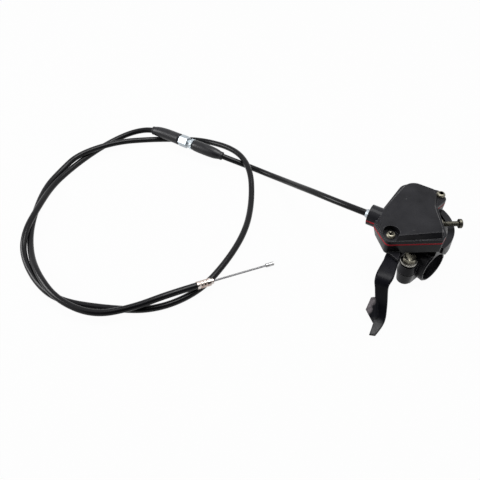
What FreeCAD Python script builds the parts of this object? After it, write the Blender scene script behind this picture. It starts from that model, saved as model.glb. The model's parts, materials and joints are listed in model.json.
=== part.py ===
# Thumb throttle lever for a handlebar, with its cable, as separate solids.
# Millimetres. The origin is the middle of the bar clamp's bore at its grip side,
# +X runs along the bar towards the grip, +Y away from the rider and +Z up.
import math
import os

import FreeCAD
import Part

os.makedirs("parts", exist_ok=True)

# Bar clamp
bar_diameter = 22.2
clamp_length = 22.5
saddle_wall = 2.2
cap_wall = 1.9
split_gap = 0.8
rim_chamfer = 1.1
foot_start = 7.0
foot_length = 13.5
foot_height = 14.5
foot_width = 12.0
lug_radius = 6.7
lug_draft = 0.12
lug_round = 1.5
lug_top = 7.0
front_lug_bottom = -11.0
rear_lug_bottom = -9.0
front_bolt_x = -11.1
front_bolt_y = -16.6
rear_bolt_x = -10.5
rear_bolt_y = 19.8
bolt_diameter = 5.0
bolt_flats = 8.4
bolt_head_height = 3.5
washer_diameter = 12.0
washer_thickness = 1.4
spring_washer_thickness = 1.8
hole_clearance = 0.3

# Throttle box, in a plan of its own that is turned about the bar
box_turn = 51.0
floor_bottom = 18.0
floor_thickness = 2.4
floor_edge_round = 0.8
box_wall = 2.4
box_draft = 0.5
left_draft = 1.9
gasket_bottom = 26.6
gasket_thickness = 1.2
flange_thickness = 2.8
cover_height = 7.2
cover_skin = 2.0
# Corners of the box's rim: across, along, corner radius
rim_corners = [
    (-39.5, -3.0, 3.5),
    (0.0, -2.6, 1.5),
    (4.0, 3.0, 1.5),
    (4.4, 31.5, 2.0),
    (13.6, 39.4, 4.0),
    (11.0, 48.9, 4.5),
    (-14.4, 59.5, 10.0),
    (-38.3, 27.5, 1.5),
    (-45.0, 16.0, 1.5),
]
# Corners of the cover's raised top
top_corners = [
    (-38.2, -2.1, 4.0),
    (-0.8, 1.2, 1.0),
    (0.4, 6.0, 1.0),
    (0.2, 27.0, 3.0),
    (6.3, 45.0, 4.0),
    (-11.0, 56.6, 9.0),
    (-36.4, 26.4, 1.5),
    (-42.6, 14.0, 1.5),
]
# Foot of the raised top, where its sloping sides meet the flange
top_foot_corners = [
    (-38.6, -2.8, 4.0),
    (-0.1, -1.2, 1.0),
    (3.0, 4.0, 1.0),
    (3.3, 29.0, 3.0),
    (8.6, 44.4, 4.0),
    (-13.4, 58.9, 9.0),
    (-37.6, 27.2, 1.5),
    (-44.2, 15.3, 1.5),
]
# Lip of the floor in front of the box, in the part's frame
lip_corners = [
    (-21.9, -31.9, 0.3),
    (-19.1, -30.6, 2.0),
    (-15.6, -30.9, 4.0),
    (-11.4, -31.6, 0.8),
    (-14.7, -25.1, 2.0),
    (-17.5, -22.5, 0.3),
]
lip_thickness = 2.2

# Cover screws, in the box's plan
front_screw_across = -35.8
front_screw_along = 2.9
rear_screw_across = 9.7
rear_screw_along = 43.7
screw_diameter = 3.5
screw_head_diameter = 6.6
screw_head_height = 2.4
screw_length = 11.0
screw_notch_radius = 5.8
cover_edge_round = 0.9
flange_edge_round = 0.5
dimple_radius = 0.55
dimple_depth = 0.3
dimple_places = [(-20.1, 3.8), (-18.8, 35.7)]
column_radius = 4.2

# Lever's pivot
pivot_x = -30.0
pivot_y = 8.0
shaft_diameter = 8.0
running_gap = 0.05
shaft_head_diameter = 12.0
shaft_head_height = 1.7
bush_wall = 1.5
bush_flange = 0.35
lever_travel = 40.0

# Thumb lever
lever_thickness = 3.6
lever_gap = 0.3
hub_radius = 9.5
lever_root_width = 10.2
lever_steps = 3
lever_angle = -66.5
# Stations down the lever: x, y, z, width, thickness, turn of the width in plan
lever_stations = [
    (-15.7, -32.8, 15.9, 10.2, 3.6, 23.5),
    (-11.0, -43.6, 15.9, 12.0, 3.6, 23.5),
    (-9.3, -47.8, 15.2, 11.7, 3.6, 24.0),
    (-8.3, -50.4, 12.9, 10.4, 3.6, 24.0),
    (-7.0, -51.2, 8.5, 9.2, 3.6, 25.0),
    (-4.9, -52.2, 2.2, 8.9, 3.6, 26.0),
    (-2.3, -53.9, -3.6, 8.2, 3.6, 30.0),
    (1.2, -57.6, -9.6, 7.6, 3.4, 37.0),
    (3.6, -62.6, -12.3, 7.0, 3.0, 40.0),
    (6.2, -70.9, -13.3, 4.4, 2.0, 40.0),
]
# Thumb wing on the lever's left edge
wing_points = [
    (-6.6, -54.2, 2.6),
    (-10.4, -56.2, 0.4),
    (-9.4, -59.6, -9.0),
    (0.0, -63.4, -12.4),
    (0.4, -58.2, -8.6),
]
wing_thickness = 2.2

# Throttle arm in the box
arm_hub_radius = 6.5
arm_thickness = 4.0
arm_lift = 0.4
arm_rim = 1.6
arm_sector_start = -114.0
arm_sector_end = -50.0
nipple_angle = -64.0
nipple_diameter = 4.6
clip_thickness = 0.8
clip_diameter = 12.0
stop_inner_radius = 9.0

# Return spring
spring_wire = 1.0
spring_radius = 8.0
spring_bottom = 21.1
spring_top = 24.45
spring_leg = 11.5
spring_step = 60.0
post_angle = 150.0
post_radius = 1.5

# Limiter screw
limiter_along = 22.3
limiter_height = 21.9
limiter_diameter = 3.9
limiter_tip_across = -4.7
limiter_head_across = 19.4
limiter_head_diameter = 7.0
limiter_head_height = 2.6
limiter_nut_flats = 7.0
limiter_nut_height = 3.0
limiter_boss_radius = 4.0

# Rear skirt round the pivot
skirt_radius = 31.2
skirt_wall = 5.0
skirt_start = -5.0
skirt_end = 80.0
skirt_bottom = 6.5
skirt_top = 16.5
mouth_clearance = 1.2
rib_start_x = -9.0
rib_start_y = 6.0
rib_width = 5.0

# Cable
cable_diameter = 5.0
wire_diameter = 1.5
outlet_x = -50.6
outlet_y = -17.4
outlet_turn = 197.8
outlet_diameter = 15.4
outlet_root = 11.5
ferrule_diameter = 6.5
ferrule_depth = 7.0
ferrule_proud = 3.0
adjuster_height = -4.2
adjuster_start = (-205.5, -31.6)
adjuster_end = (-276.0, -53.3)
boot_radius = 5.0
boot_end_radius = 3.7
upper_boot_length = 29.6
lower_boot_start = 45.0
adjuster_thread = 6.0
adjuster_hex_flats = 9.4
cup_radius = 3.9
lock_nut_radius = 4.7

# Route of the casing from the box to the adjuster
upper_route = [
    (-46.2, -16.0, 27.2),
    (-60.5, -20.6, 27.2),
    (-83.4, -23.1, 22.9),
    (-104.3, -21.5, 15.8),
    (-124.0, -17.1, 6.0),
    (-143.7, -12.0, -4.2),
    (-164.8, -10.7, -11.5),
    (-186.5, -16.2, -12.4),
    (-205.5, -31.6, -4.2),
    (-221.8, -36.6, -4.2),
]
# Route of the long loops from the adjuster to the cable's free end
lower_route = [
    (-258.8, -48.0, -4.2),
    (-276.0, -53.3, -4.2),
    (-288.0, -66.4, -6.2),
    (-293.0, -86.8, -9.0),
    (-293.2, -110.2, -11.9),
    (-286.0, -137.1, -11.9),
    (-276.2, -161.6, -11.9),
    (-253.2, -186.1, -6.4),
    (-235.4, -207.2, -6.4),
    (-218.1, -219.5, -11.9),
    (-186.3, -224.8, -11.9),
    (-159.9, -220.6, -11.9),
    (-132.1, -198.5, -11.9),
    (-107.7, -172.8, -11.9),
    (-100.7, -137.6, -11.9),
    (-111.6, -101.1, -11.9),
    (-127.3, -69.7, -11.9),
    (-150.3, -43.4, -11.9),
    (-175.4, -23.0, -5.1),
    (-204.0, -14.8, -5.1),
    (-240.0, -21.8, -11.9),
    (-257.9, -39.5, -11.9),
    (-275.1, -60.0, -11.9),
    (-286.3, -90.5, -6.4),
    (-292.7, -125.2, -6.4),
    (-289.6, -145.2, -11.9),
    (-277.1, -169.0, -11.9),
    (-246.0, -197.5, -11.9),
    (-218.8, -213.0, -11.9),
    (-187.4, -221.4, -6.4),
    (-157.0, -222.4, -6.4),
    (-128.9, -210.2, -6.4),
    (-116.3, -185.9, -6.4),
    (-107.2, -158.1, -3.6),
    (-100.7, -134.1, -6.0),
]
end_ferrule_diameter = 5.9
end_ferrule_length = 13.0
casing_insert = 5.5
free_wire = 50.0
wire_overlap = 8.0
wire_bore_gap = 0.05
end_nipple_diameter = 3.0
end_nipple_length = 6.5

# Worked out from the sizes above
bore_radius = bar_diameter / 2
saddle_radius = bore_radius + saddle_wall
cap_radius = bore_radius + cap_wall
half_gap = split_gap / 2
gasket_top = gasket_bottom + gasket_thickness
flange_top = gasket_top + flange_thickness
cover_top = gasket_top + cover_height
floor_top = floor_bottom + floor_thickness
cable_height = gasket_bottom + gasket_thickness / 2
lever_top = floor_bottom - lever_gap
lever_bottom = lever_top - lever_thickness
shaft_radius = shaft_diameter / 2
pivot = FreeCAD.Vector(pivot_x, pivot_y, 0)
up = FreeCAD.Vector(0, 0, 1)
side = FreeCAD.Vector(math.cos(math.radians(box_turn)), math.sin(math.radians(box_turn)), 0)
outlet_direction = FreeCAD.Vector(
    math.cos(math.radians(outlet_turn)), math.sin(math.radians(outlet_turn)), 0)
outlet = FreeCAD.Vector(outlet_x, outlet_y, cable_height)
arm_bottom = cable_height - arm_thickness / 2
arm_top = cable_height + arm_thickness / 2
hub_bottom = floor_top + arm_lift
first_station = lever_stations[0]


def vec(x, y, z=0.0):
    return FreeCAD.Vector(x, y, z)


def plan(across, along, z=0.0):
    """A point of the box's own plan, in the part's frame."""
    turn = math.radians(box_turn)
    x = across * math.cos(turn) - along * math.sin(turn)
    y = across * math.sin(turn) + along * math.cos(turn)
    return FreeCAD.Vector(x, y, z)


def polar(angle, radius, z=0.0):
    """A point round the lever's pivot."""
    turn = math.radians(angle)
    return FreeCAD.Vector(
        pivot_x + radius * math.cos(turn), pivot_y + radius * math.sin(turn), z)


def rounded_outline(corners, z, place=plan):
    """A closed wire with an arc of its own radius at each corner."""
    count = len(corners)
    spans = []
    for i in range(count):
        here = place(corners[i][0], corners[i][1], z)
        before = place(corners[i - 1][0], corners[i - 1][1], z)
        after = place(corners[(i + 1) % count][0], corners[(i + 1) % count][1], z)
        back = (before - here).normalize()
        ahead = (after - here).normalize()
        half = back.getAngle(ahead) / 2
        radius = corners[i][2]
        reach = radius / math.tan(half)
        inward = (back + ahead).normalize()
        start = here + back * reach
        middle = here + inward * (radius / math.sin(half) - radius)
        end = here + ahead * reach
        spans.append((start, middle, end))
    edges = []
    for i in range(count):
        start, middle, end = spans[i]
        edges.append(Part.Arc(start, middle, end).toShape())
        edges.append(Part.LineSegment(end, spans[(i + 1) % count][0]).toShape())
    return Part.Wire(edges)


def inset(corners, distance):
    """The same outline moved inwards by a distance."""
    count = len(corners)
    moved = []
    for i in range(count):
        here = vec(corners[i][0], corners[i][1])
        before = vec(corners[i - 1][0], corners[i - 1][1])
        after = vec(corners[(i + 1) % count][0], corners[(i + 1) % count][1])
        first = (here - before).normalize()
        second = (after - here).normalize()
        first_in = vec(-first.y, first.x)
        second_in = vec(-second.y, second.x)
        shift = (first_in + second_in) * (distance / (1 + first_in.dot(second_in)))
        turn = first.x * second.y - first.y * second.x
        radius = corners[i][2] + distance
        if turn > 0:
            radius = max(corners[i][2] - distance, 0.5)
        place = here + shift
        moved.append((place.x, place.y, radius))
    return moved


def prism(corners, bottom, top, place=plan):
    face = Part.Face(rounded_outline(corners, bottom, place))
    return face.extrude(vec(0, 0, top - bottom))


def tapered(lower, bottom, upper, top):
    wires = [rounded_outline(lower, bottom), rounded_outline(upper, top)]
    return Part.makeLoft(wires, True, True)


def box_outline(distance):
    """Outline of the box at its floor, which leans in more on its left side."""
    corners = inset(rim_corners, box_draft + distance)
    leaned = []
    for i in range(len(corners)):
        across, along, radius = corners[i]
        if i >= len(corners) - 2:
            across += left_draft
        leaned.append((across, along, radius))
    return leaned


def disc(x, y, radius, bottom, top):
    return Part.makeCylinder(radius, top - bottom, vec(x, y, bottom))


def ring(x, y, outer, inner, bottom, top):
    return disc(x, y, outer, bottom, top).cut(disc(x, y, inner, bottom, top))


def rod(start, direction, radius, length):
    return Part.makeCylinder(radius, length, start, direction)


def turned(profile, base, axis):
    """A turned piece: its profile is (radius, height) points along an axis."""
    points = [vec(radius, 0, height) for radius, height in profile]
    points.append(points[0])
    face = Part.Face(Part.makePolygon(points))
    solid = face.revolve(vec(0, 0), up, 360)
    solid.Placement = FreeCAD.Placement(base, FreeCAD.Rotation(up, axis))
    return solid


def hexagon(base, axis, flats, height, corner=0.0):
    """A hexagonal prism, with its corners turned off on the far face."""
    radius = flats / math.sqrt(3)
    points = []
    for i in range(7):
        turn = math.radians(60 * i)
        points.append(vec(radius * math.cos(turn), radius * math.sin(turn)))
    prism_solid = Part.Face(Part.makePolygon(points)).extrude(vec(0, 0, height))
    if corner > 0:
        cone = Part.makeCone(radius + height * 1.6, radius - corner, height)
        prism_solid = prism_solid.common(cone)
    prism_solid.Placement = FreeCAD.Placement(base, FreeCAD.Rotation(up, axis))
    return prism_solid


def cross_recess(base, axis, size, depth):
    """The two crossed slots in a screw head."""
    slots = []
    for turn in (0, 90):
        slot = Part.makeBox(size, size * 0.24, depth + 0.2, vec(-size / 2, -size * 0.12, -depth))
        slot.rotate(vec(0, 0), up, turn + 20)
        slots.append(slot)
    recess = slots[0].fuse(slots[1])
    recess.Placement = FreeCAD.Placement(base, FreeCAD.Rotation(up, axis)).multiply(
        recess.Placement)
    return recess


def pan_screw(base, axis, thread, length, head, head_height):
    """A domed cross-headed screw whose head rests on the base point."""
    radius = thread / 2
    profile = [
        (0, -length),
        (radius - 0.5, -length),
        (radius, -length + 0.7),
        (radius, 0),
        (head / 2, 0),
        (head / 2, head_height * 0.45),
        (head / 2 - 0.5, head_height * 0.8),
        (head / 2 - 1.4, head_height),
        (0, head_height),
    ]
    screw = turned(profile, base, axis)
    return screw.cut(cross_recess(base + axis * head_height, axis, head * 0.55, head_height * 0.6))


def route_edges(points):
    """Straight runs joined by arcs that touch them, with each arc's radius."""
    spots = [FreeCAD.Vector(*point) for point in points]
    edges = []
    radii = []
    start = spots[0]
    for i in range(1, len(spots) - 1):
        back = spots[i - 1] - spots[i]
        ahead = spots[i + 1] - spots[i]
        reach = 0.45 * min(back.Length, ahead.Length)
        back.normalize()
        ahead.normalize()
        half = back.getAngle(ahead) / 2
        radius = reach * math.tan(half)
        inward = (back + ahead).normalize()
        enter = spots[i] + back * reach
        leave = spots[i] + ahead * reach
        middle = spots[i] + inward * (radius / math.sin(half) - radius)
        edges.append(Part.LineSegment(start, enter).toShape())
        edges.append(Part.Arc(enter, middle, leave).toShape())
        radii.append(radius)
        start = leave
    edges.append(Part.LineSegment(start, spots[-1]).toShape())
    return edges, radii


def swept_tube(edges, diameter):
    first = edges[0]
    start = first.valueAt(first.FirstParameter)
    direction = first.tangentAt(first.FirstParameter)
    circle = Part.Wire(Part.Circle(start, direction, diameter / 2).toShape())
    return Part.Wire(edges).makePipeShell([circle], True, True)


def route_station(edges, distance):
    """Place and direction at a distance along a route."""
    left = distance
    for edge in edges:
        if left <= edge.Length:
            parameter = edge.getParameterByLength(left)
            return edge.valueAt(parameter), edge.tangentAt(parameter)
        left -= edge.Length
    last = edges[-1]
    return last.valueAt(last.LastParameter), last.tangentAt(last.LastParameter)


def round_loft(stations):
    """A round sleeve through (centre, direction, radius) stations."""
    wires = []
    for centre, direction, radius in stations:
        wires.append(Part.Wire(Part.Circle(centre, direction, radius).toShape()))
    return Part.makeLoft(wires, True, True)


def section(station, direction):
    """One rounded section of the thumb lever, set across its direction."""
    x, y, z, width, thickness, turn = station
    centre = vec(x, y, z)
    across = vec(math.cos(math.radians(turn)), math.sin(math.radians(turn)))
    normal = across.cross(direction).normalize()
    radius = min(thickness * 0.4, 1.3)
    half_w = width / 2
    half_t = thickness / 2
    inner = [(1, 1), (-1, 1), (-1, -1), (1, -1)]
    edges = []
    ends = []
    for sx, sy in inner:
        corner = centre + across * (sx * (half_w - radius)) + normal * (sy * (half_t - radius))
        first = corner + across * (sx * radius)
        second = corner + normal * (sy * radius)
        middle = corner + (across * sx + normal * sy) * (radius / math.sqrt(2))
        if sx * sy > 0:
            ends.append((first, middle, second))
        else:
            ends.append((second, middle, first))
    for i in range(4):
        first, middle, second = ends[i]
        edges.append(Part.Arc(first, middle, second).toShape())
        edges.append(Part.LineSegment(second, ends[(i + 1) % 4][0]).toShape())
    return Part.Wire(edges)


parts = {}


def lever_offset():
    """How far the lever's middle line passes beside the pivot."""
    turn = math.radians(lever_angle)
    x = first_station[0] - pivot_x
    y = first_station[1] - pivot_y
    return -x * math.sin(turn) + y * math.cos(turn)


def lever_path(angle, reach, margin, bottom, top):
    """Strip that the straight part of the lever covers at one angle."""
    half = lever_root_width / 2 + margin
    strip = Part.makeBox(reach, 2 * half, top - bottom, vec(0, lever_offset() - half, bottom))
    strip.rotate(vec(0, 0), up, angle)
    strip.translate(vec(pivot_x, pivot_y, 0))
    return strip


def lever_pocket(bottom, top):
    """Room for the lever under the box, over its whole travel."""
    reach = 60.0
    margin = 1.0
    pocket = disc(pivot_x, pivot_y, hub_radius + margin, bottom, top)
    for angle in (lever_angle - 3, lever_angle + lever_travel + 2):
        pocket = pocket.fuse(lever_path(angle, reach, margin, bottom, top))
    fan = Part.makeCylinder(reach, top - bottom, vec(pivot_x, pivot_y, bottom), up,
                            lever_travel + 5)
    fan.rotate(pivot, up, lever_angle - 3)
    return pocket.fuse(fan).removeSplitter()


def bore(radius, extra=1.0):
    return rod(vec(-clamp_length - extra, 0), vec(1, 0, 0), radius, clamp_length + 2 * extra)


def lug(x, y, joint, face):
    """A bolt lug that narrows from the clamp's joint to its outer face, and its web."""
    height = abs(face - joint)
    axis = up * (1 if face > joint else -1)
    narrow = lug_radius - lug_draft * height
    body = Part.makeCone(lug_radius, narrow, height, vec(x, y, joint), axis)
    if face < joint:
        rim = [edge for edge in body.Edges if abs(edge.Length - 2 * math.pi * narrow) < 0.01]
        body = body.makeFillet(lug_round, rim)
    web = Part.makeBox(2 * narrow, abs(y), height,
                       vec(x - narrow, min(0, y), min(joint, face)))
    return body.fuse(web)


def half_clamp(radius, bottom, top):
    """The half of the clamp's barrel that lies between two heights."""
    barrel = rod(vec(-clamp_length, 0), vec(1, 0, 0), radius, clamp_length)
    rims = [edge for edge in barrel.Edges if abs(edge.Length - 2 * math.pi * radius) < 0.01]
    barrel = barrel.makeChamfer(rim_chamfer, rims)
    slab = Part.makeBox(clamp_length, 60, top - bottom, vec(-clamp_length, -30, bottom))
    return barrel.common(slab)


def make_housing():
    cavity_high = inset(rim_corners, box_wall)
    shell = tapered(box_outline(0), floor_bottom, rim_corners, gasket_bottom)
    rims = [edge for edge in shell.Edges if edge.BoundBox.ZMax < floor_bottom + 0.01]
    shell = shell.makeFillet(floor_edge_round, rims)
    shell = shell.cut(tapered(box_outline(box_wall), floor_top, cavity_high, gasket_bottom))
    lip = prism(lip_corners, floor_bottom, floor_bottom + lip_thickness, vec)
    body = shell.fuse(lip)
    # Columns for the cover's screws and the post that holds the spring
    inside = tapered(box_outline(0.5), floor_bottom, inset(rim_corners, 0.5), gasket_bottom)
    for across, along in screw_places():
        spot = plan(across, along)
        column = disc(spot.x, spot.y, column_radius, floor_bottom, gasket_bottom)
        body = body.fuse(column.common(inside))
    post = polar(post_angle, spring_leg - 0.8)
    body = body.fuse(disc(post.x, post.y, post_radius, floor_bottom, spring_bottom + 3))
    # Threaded boss for the limiter screw on the right wall
    wall = rim_corners[2][0]
    boss = rod(plan(wall - box_wall - 3.0, limiter_along, limiter_height), side,
               limiter_boss_radius, box_wall + 3.0 - box_draft)
    room = Part.makeBox(200, 200, gasket_bottom - floor_bottom, vec(-150, -100, floor_bottom))
    body = body.fuse(boss.common(room))
    # Lower half of the cable's outlet
    start = outlet - outlet_direction * outlet_root
    collar = rod(start, outlet_direction, outlet_diameter / 2, outlet_root)
    below = Part.makeBox(200, 200, 40, vec(-150, -100, gasket_bottom - 40))
    body = body.fuse(collar.common(below))
    # Saddle half of the bar clamp with its two lugs
    saddle = half_clamp(saddle_radius, half_gap, saddle_radius)
    saddle = saddle.fuse(lug(front_bolt_x, front_bolt_y, half_gap, lug_top))
    saddle = saddle.fuse(lug(rear_bolt_x, rear_bolt_y, half_gap, lug_top))
    # Skirt behind the clamp that follows the lever's pivot
    skirt = ring(pivot_x, pivot_y, skirt_radius, skirt_radius - skirt_wall,
                 skirt_bottom, floor_bottom)
    wedge = Part.makeCylinder(2 * skirt_radius, floor_bottom, vec(pivot_x, pivot_y), up,
                              skirt_end - skirt_start)
    wedge.rotate(pivot, up, skirt_start)
    skirt = skirt.common(wedge)
    under_box = prism(box_outline(0), skirt_bottom, floor_bottom)
    low_skirt = Part.makeBox(200, 200, skirt_top - skirt_bottom, vec(-150, -100, skirt_bottom))
    skirt = skirt.common(under_box).fuse(skirt.common(low_skirt))
    # Rib that ties the skirt to the saddle
    reach = pivot_x + skirt_radius - skirt_wall / 2 - rib_start_x
    rib = Part.makeBox(reach, rib_width, saddle_radius - 1 - skirt_bottom,
                       vec(rib_start_x, rib_start_y, skirt_bottom))
    skirt = skirt.fuse(rib)
    # Web between the saddle and the box
    slab = Part.makeBox(clamp_length, 40, floor_bottom - lug_top, vec(-clamp_length, -5, lug_top))
    web = prism(box_outline(0), lug_top, floor_bottom).common(slab)
    body = body.fuse(saddle).fuse(skirt).fuse(web)
    body = body.cut(lever_pocket(saddle_radius + 0.2, floor_bottom))
    body = body.cut(bore(bore_radius))
    # Way of the bar past the skirt, and spot faces for the washer and the nut
    body = body.cut(rod(vec(0, 0), vec(1, 0, 0), bore_radius + mouth_clearance, skirt_wall))
    body = body.cut(disc(front_bolt_x, front_bolt_y, washer_diameter / 2 + hole_clearance,
                         lug_top, lever_top))
    body = body.cut(rod(plan(wall, limiter_along, limiter_height), side,
                        limiter_nut_flats / math.sqrt(3) + hole_clearance, limiter_nut_height))
    # Holes for the pivot bush, the bolts, the screws and the limiter
    body = body.cut(disc(pivot_x, pivot_y, shaft_radius + running_gap + bush_wall, 0, floor_top))
    clearance = bolt_diameter / 2 + hole_clearance
    body = body.cut(disc(front_bolt_x, front_bolt_y, clearance, 0, lug_top + 1))
    body = body.cut(disc(rear_bolt_x, rear_bolt_y, bolt_diameter / 2, 0, rear_bolt_tip()))
    for across, along in screw_places():
        spot = plan(across, along)
        low = screw_seat() - screw_length
        body = body.cut(disc(spot.x, spot.y, screw_diameter / 2, low, gasket_bottom))
    body = body.cut(rod(plan(limiter_tip_across, limiter_along, limiter_height), side,
                        limiter_diameter / 2, 40))
    body = body.cut(outlet_bore())
    return body.removeSplitter()


def screw_places():
    return [(front_screw_across, front_screw_along), (rear_screw_across, rear_screw_along)]


def screw_seat():
    return flange_top


def rear_bolt_tip():
    return lug_top - 2.5


def outlet_bore():
    """Seat of the casing ferrule and the way of the inner wire behind it."""
    seat = rod(outlet - outlet_direction * ferrule_depth, outlet_direction,
               ferrule_diameter / 2, ferrule_depth + 1)
    way = rod(outlet - outlet_direction * (outlet_root + 6), outlet_direction, 1.6,
              outlet_root + 6)
    return seat.fuse(way)


def make_gasket():
    outer = prism(rim_corners, gasket_bottom, gasket_top)
    inner = prism(inset(rim_corners, box_wall), gasket_bottom, gasket_top)
    start = outlet - outlet_direction * outlet_root
    collar = rod(start, outlet_direction, outlet_diameter / 2, outlet_root)
    layer = Part.makeBox(200, 200, gasket_thickness, vec(-150, -100, gasket_bottom))
    gasket = outer.cut(inner)
    for across, along in screw_places():
        spot = plan(across, along)
        pad = disc(spot.x, spot.y, column_radius, gasket_bottom, gasket_top)
        gasket = gasket.fuse(pad.common(outer))
    gasket = gasket.fuse(collar.common(layer)).cut(outlet_bore())
    for across, along in screw_places():
        spot = plan(across, along)
        gasket = gasket.cut(disc(spot.x, spot.y, screw_diameter / 2, gasket_bottom, gasket_top))
    return gasket.removeSplitter()


def make_cover():
    flange = prism(rim_corners, gasket_top, flange_top)
    rims = [edge for edge in flange.Edges if edge.BoundBox.ZMin > flange_top - 0.01]
    flange = flange.makeFillet(flange_edge_round, rims)
    raised = tapered(top_foot_corners, flange_top - 1.0, top_corners, cover_top)
    rims = [edge for edge in raised.Edges if edge.BoundBox.ZMin > cover_top - 0.01]
    raised = raised.makeFillet(cover_edge_round, rims)
    start = outlet - outlet_direction * outlet_root
    collar = rod(start, outlet_direction, outlet_diameter / 2, outlet_root)
    above = Part.makeBox(200, 200, 40, vec(-150, -100, gasket_top))
    # Flange-level pads round the two screws, cut out of the raised top
    for across, along in screw_places():
        spot = plan(across, along)
        raised = raised.cut(disc(spot.x, spot.y, screw_notch_radius, flange_top, cover_top + 1))
    cover = flange.fuse(raised).fuse(collar.common(above))
    cavity = tapered(inset(top_foot_corners, box_wall), gasket_top,
                     inset(top_corners, cover_skin), cover_top - cover_skin)
    for across, along in screw_places():
        spot = plan(across, along)
        guard = disc(spot.x, spot.y, screw_notch_radius + cover_skin, gasket_top, cover_top)
        cavity = cavity.cut(guard)
    cover = cover.cut(cavity).cut(outlet_bore())
    for across, along in screw_places():
        spot = plan(across, along)
        hole = screw_diameter / 2 + hole_clearance
        cover = cover.cut(disc(spot.x, spot.y, hole, gasket_top, flange_top))
    # Two small round dimples left by the mould
    for across, along in dimple_places:
        spot = plan(across, along)
        cover = cover.cut(disc(spot.x, spot.y, dimple_radius, cover_top - dimple_depth,
                               cover_top + 1))
    return cover.removeSplitter()


def make_cover_screw(across, along):
    return pan_screw(plan(across, along, screw_seat()), up, screw_diameter, screw_length,
                     screw_head_diameter, screw_head_height)


def make_cap():
    cap = half_clamp(cap_radius, -cap_radius, -half_gap)
    foot = Part.makeBox(foot_length, foot_width, foot_height - bore_radius,
                        vec(-foot_start - foot_length, -foot_width / 2, -foot_height))
    rims = [edge for edge in foot.Edges
            if abs(edge.BoundBox.ZMax + foot_height) < 0.01]
    cap = cap.fuse(foot.makeChamfer(rim_chamfer, rims))
    cap = cap.fuse(lug(front_bolt_x, front_bolt_y, -half_gap, front_lug_bottom))
    cap = cap.fuse(lug(rear_bolt_x, rear_bolt_y, -half_gap, rear_lug_bottom))
    cap = cap.cut(bore(bore_radius))
    cap = cap.cut(disc(front_bolt_x, front_bolt_y, bolt_diameter / 2, front_lug_bottom - 1, 0))
    clearance = bolt_diameter / 2 + hole_clearance
    cap = cap.cut(disc(rear_bolt_x, rear_bolt_y, clearance, rear_lug_bottom - 1, 0))
    return cap.removeSplitter()


def make_bolt(base, axis, length):
    """A hexagon bolt whose head rests on the base point."""
    head = hexagon(base, axis, bolt_flats, bolt_head_height, 0.1)
    profile = [
        (0, -length),
        (bolt_diameter / 2 - 0.7, -length),
        (bolt_diameter / 2, -length + 0.8),
        (bolt_diameter / 2, 0),
        (0, 0),
    ]
    return head.fuse(turned(profile, base, axis)).removeSplitter()


def make_washer(x, y, bottom, thickness, outer):
    return ring(x, y, outer / 2, bolt_diameter / 2, bottom, bottom + thickness)


def make_spring_washer(x, y, bottom):
    """A split ring with a slanted gap."""
    outer = bolt_flats / 2 + 0.2
    washer = ring(x, y, outer, bolt_diameter / 2, bottom, bottom + spring_washer_thickness)
    slit = Part.makeBox(outer + 2, 0.7, 4, vec(0, -0.35, -2))
    slit.rotate(vec(0, 0), vec(1, 0, 0), 25)
    slit.rotate(vec(0, 0), up, -140)
    slit.translate(vec(x, y, bottom + spring_washer_thickness / 2))
    return washer.cut(slit)


def make_bush():
    inner = shaft_radius + running_gap
    sleeve = ring(pivot_x, pivot_y, inner + bush_wall, inner, floor_bottom, floor_top)
    flange = ring(pivot_x, pivot_y, inner + bush_wall + 0.9, inner,
                  floor_top, floor_top + bush_flange)
    return sleeve.fuse(flange).removeSplitter()


def make_shaft():
    head_bottom = lever_bottom - shaft_head_height
    top = arm_top + 0.2 + clip_thickness + 0.8
    profile = [
        (0, head_bottom),
        (shaft_head_diameter / 2 - 0.6, head_bottom),
        (shaft_head_diameter / 2, head_bottom + 0.6),
        (shaft_head_diameter / 2, lever_bottom),
        (shaft_radius, lever_bottom),
        (shaft_radius, arm_top + 0.2),
        (shaft_radius - 0.8, arm_top + 0.2),
        (shaft_radius - 0.8, arm_top + 0.2 + clip_thickness),
        (shaft_radius, arm_top + 0.2 + clip_thickness),
        (shaft_radius - 0.3, top),
        (0, top),
    ]
    return turned(profile, pivot, up)


def flowing_stations(stations, steps):
    """Stations with smooth steps between the given ones."""
    flowing = []
    for i in range(len(stations) - 1):
        before = stations[max(i - 1, 0)]
        start = stations[i]
        end = stations[i + 1]
        after = stations[min(i + 2, len(stations) - 1)]
        for step in range(steps):
            t = step / steps
            station = []
            for a, b, c, d in zip(before, start, end, after):
                bend = 2 * a - 5 * b + 4 * c - d
                twist = 3 * b - a - 3 * c + d
                station.append(0.5 * (2 * b + (c - a) * t + bend * t ** 2 + twist * t ** 3))
            flowing.append(tuple(station))
    flowing.append(stations[-1])
    return flowing


def make_lever():
    hub = disc(pivot_x, pivot_y, hub_radius, lever_bottom, lever_top)
    turn = math.radians(lever_angle)
    along = vec(math.cos(turn), math.sin(turn))
    reach = (vec(first_station[0], first_station[1]) - pivot).dot(along)
    half = lever_root_width / 2
    root = Part.makeBox(reach, 2 * half, lever_thickness, vec(0, lever_offset() - half, 0))
    root.rotate(vec(0, 0), up, lever_angle)
    root.translate(vec(pivot_x, pivot_y, lever_bottom))
    stations = flowing_stations(lever_stations, lever_steps)
    spots = [vec(s[0], s[1], s[2]) for s in stations]
    wires = []
    for i in range(len(spots)):
        before = spots[max(i - 1, 0)]
        after = spots[min(i + 1, len(spots) - 1)]
        direction = (after - before).normalize()
        if i == 0:
            direction = along
        wires.append(section(stations[i], direction))
    arm = Part.makeLoft(wires, True, True)
    wing = make_wing()
    lever = hub.fuse(root).fuse(arm).fuse(wing)
    lever = lever.cut(disc(pivot_x, pivot_y, shaft_radius, lever_bottom - 1, lever_top + 1))
    return lever.removeSplitter()


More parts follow.
